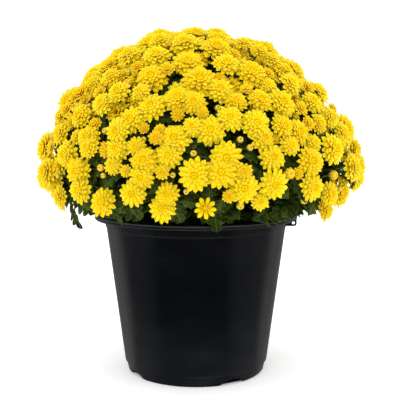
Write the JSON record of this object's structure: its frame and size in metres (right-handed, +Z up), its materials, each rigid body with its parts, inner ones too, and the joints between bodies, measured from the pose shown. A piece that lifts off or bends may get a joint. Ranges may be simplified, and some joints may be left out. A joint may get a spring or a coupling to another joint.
{
  "type": "potted chrysanthemum",
  "caption": "Garden chrysanthemum in full flower: a wide dome of yellow double blooms, buds and lobed leaves on fanning stems in a tapered black nursery pot.",
  "frame": {"origin": "centre of the pot's flat base", "axes": "+Z up along the pot's axis, front of the plant towards -Y"},
  "size_m": [0.3617, 0.3611, 0.3853],
  "materials": {
    "pot_plastic": "semi-gloss black nursery pot plastic",
    "potting_mix": "moist crumbly peat and bark mix",
    "foliage": "soft matte green leaves and stems",
    "petals": "soft satin yellow petals"
  },
  "bodies": {
    "root": {"pot": "pot_plastic", "potting_mix": "potting_mix", "stem_01": "foliage", "stem_02": "foliage", "stem_03": "foliage", "stem_04": "foliage", "stem_05": "foliage", "stem_06": "foliage", "stem_07": "foliage", "stem_08": "foliage", "stem_09": "foliage", "stem_10": "foliage", "stem_11": "foliage", "stem_12": "foliage", "stem_13": "foliage", "stem_14": "foliage", "stem_15": "foliage", "stem_16": "foliage", "stem_17": "foliage", "stem_18": "foliage", "stem_19": "foliage", "stem_20": "foliage", "stem_21": "foliage", "stem_22": "foliage", "stem_23": "foliage", "stem_24": "foliage", "blooms_01": "petals", "blooms_02": "petals", "blooms_03": "petals", "blooms_04": "petals", "blooms_05": "petals", "blooms_06": "petals", "blooms_07": "petals", "blooms_08": "petals", "blooms_09": "petals", "blooms_10": "petals", "blooms_11": "petals", "blooms_12": "petals", "blooms_13": "petals", "blooms_14": "petals", "blooms_15": "petals", "blooms_16": "petals", "blooms_17": "petals", "blooms_18": "petals", "blooms_19": "petals", "blooms_20": "petals", "blooms_21": "petals", "blooms_22": "petals", "blooms_23": "petals", "blooms_24": "petals"}
  },
  "joints": []
}
